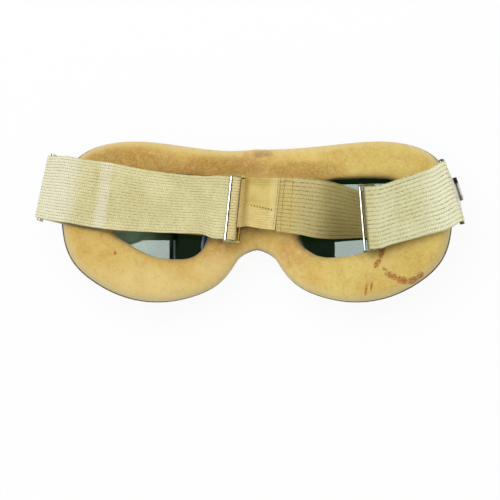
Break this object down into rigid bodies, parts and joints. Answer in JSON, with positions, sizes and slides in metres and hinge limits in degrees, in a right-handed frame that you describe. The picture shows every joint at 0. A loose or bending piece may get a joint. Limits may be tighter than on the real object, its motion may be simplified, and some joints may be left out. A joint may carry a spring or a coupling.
{
  "type": "aviator flying goggles",
  "caption": "Metal-framed flying goggles with curved green lenses, a chamois-faced face pad, a folding nose hinge and an adjustable elastic head strap.",
  "frame": {"origin": "centre of the bounding box in plan, at the level that the goggles stand on", "axes": "+X towards the wearer's right, +Y towards the brow, +Z towards the wearer's face; the goggles lie lens-down"},
  "size_m": [0.2166, 0.0816, 0.0397],
  "materials": {
    "lens_glass": "polished, dark green",
    "gasket_rubber": "matt black",
    "chamois": "napped buff chamois, worn and stained",
    "sponge": "open-cell sponge, hidden",
    "backing_cloth": "dark coated cloth",
    "elastic_webbing": "ribbed cream elastic",
    "join_tape": "plain woven tape, yellowed",
    "brass_fitting": "worn brass",
    "nickel_plate": "polished nickel plate",
    "gauze_wire": "fine woven wire",
    "cup_enamel": "dark enamel",
    "frame_nickel": "worn nickel plate"
  },
  "bodies": {
    "right_eye": {"bridge_pad_backing": "backing_cloth", "bridge_pad_facing": "chamois", "bridge_pad_sponge": "sponge", "centre_tape": "join_tape", "hinge_nut": "frame_nickel", "hinge_pin": "frame_nickel", "right_arm_rivets": "frame_nickel", "right_clamp_nut": "frame_nickel", "right_clamp_screw": "frame_nickel", "right_eye_cup": "cup_enamel", "right_hinge_leaf": "frame_nickel", "right_lens": "lens_glass", "right_lens_gasket": "gasket_rubber", "right_lens_rim": "frame_nickel", "right_pad_backing": "backing_cloth", "right_pad_facing": "chamois", "right_pad_sponge": "sponge", "right_temple_arm": "brass_fitting", "right_vent_gauze": "gauze_wire", "right_webbing_run": "elastic_webbing", "right_webbing_top": "elastic_webbing"},
    "left_eye": {"left_arm_rivets": "frame_nickel", "left_clamp_nut": "frame_nickel", "left_clamp_screw": "frame_nickel", "left_eye_cup": "cup_enamel", "left_hinge_leaf": "frame_nickel", "left_lens": "lens_glass", "left_lens_gasket": "gasket_rubber", "left_lens_rim": "frame_nickel", "left_pad_backing": "backing_cloth", "left_pad_facing": "chamois", "left_pad_sponge": "sponge", "left_temple_arm": "brass_fitting", "left_vent_gauze": "gauze_wire", "left_webbing_run": "elastic_webbing", "left_webbing_top": "elastic_webbing"},
    "right_loop": {"right_strap_loop": "nickel_plate", "right_webbing_bend": "elastic_webbing"},
    "left_loop": {"left_strap_loop": "nickel_plate", "left_webbing_bend": "elastic_webbing"},
    "right_slide": {"right_slide": "nickel_plate", "right_webbing_end": "elastic_webbing"},
    "left_slide": {"left_slide": "nickel_plate", "left_webbing_end": "elastic_webbing"},
    "right_pivot_screw": {"right_pivot_collar": "frame_nickel", "right_pivot_screw": "frame_nickel"},
    "left_pivot_screw": {"left_pivot_collar": "frame_nickel", "left_pivot_screw": "frame_nickel"}
  },
  "joints": [
    {"name": "bridge_fold", "type": "hinge", "parent": "right_eye", "child": "left_eye", "pos_m": [0.00357, -0.0005, 0.00233], "axis": [0, 1, 0], "range_deg": [-6, 12], "deforming": ["bridge_pad_facing", "bridge_pad_sponge", "bridge_pad_backing", "centre_tape"]},
    {"name": "right_loop_swing", "type": "hinge", "parent": "right_eye", "child": "right_loop", "pos_m": [0.10517, 0.0154, 0.02085], "axis": [-0.309, 0.9511, 0], "range_deg": [0, 90]},
    {"name": "left_loop_swing", "type": "hinge", "parent": "left_eye", "child": "left_loop", "pos_m": [-0.09803, 0.0154, 0.02085], "axis": [-0.2079, -0.9781, 0], "range_deg": [0, 65]},
    {"name": "right_slide_travel", "type": "slide", "parent": "right_eye", "child": "right_slide", "axis": [0.9494, 0.3042, 0.0778], "range_m": [0, 0.018], "deforming": ["right_webbing_top"]},
    {"name": "left_slide_travel", "type": "slide", "parent": "left_eye", "child": "left_slide", "axis": [-0.9932, 0.1111, 0.036], "range_m": [0, 0.03], "deforming": ["left_webbing_top"]},
    {"name": "right_screw_turn", "type": "hinge", "parent": "right_eye", "child": "right_pivot_screw", "pos_m": [0.10517, 0.0154, 0.02085], "axis": [-0.309, 0.9511, 0], "continuous": true},
    {"name": "left_screw_turn", "type": "hinge", "parent": "left_eye", "child": "left_pivot_screw", "pos_m": [-0.09803, 0.0154, 0.02085], "axis": [0.2079, 0.9781, 0], "continuous": true}
  ]
}
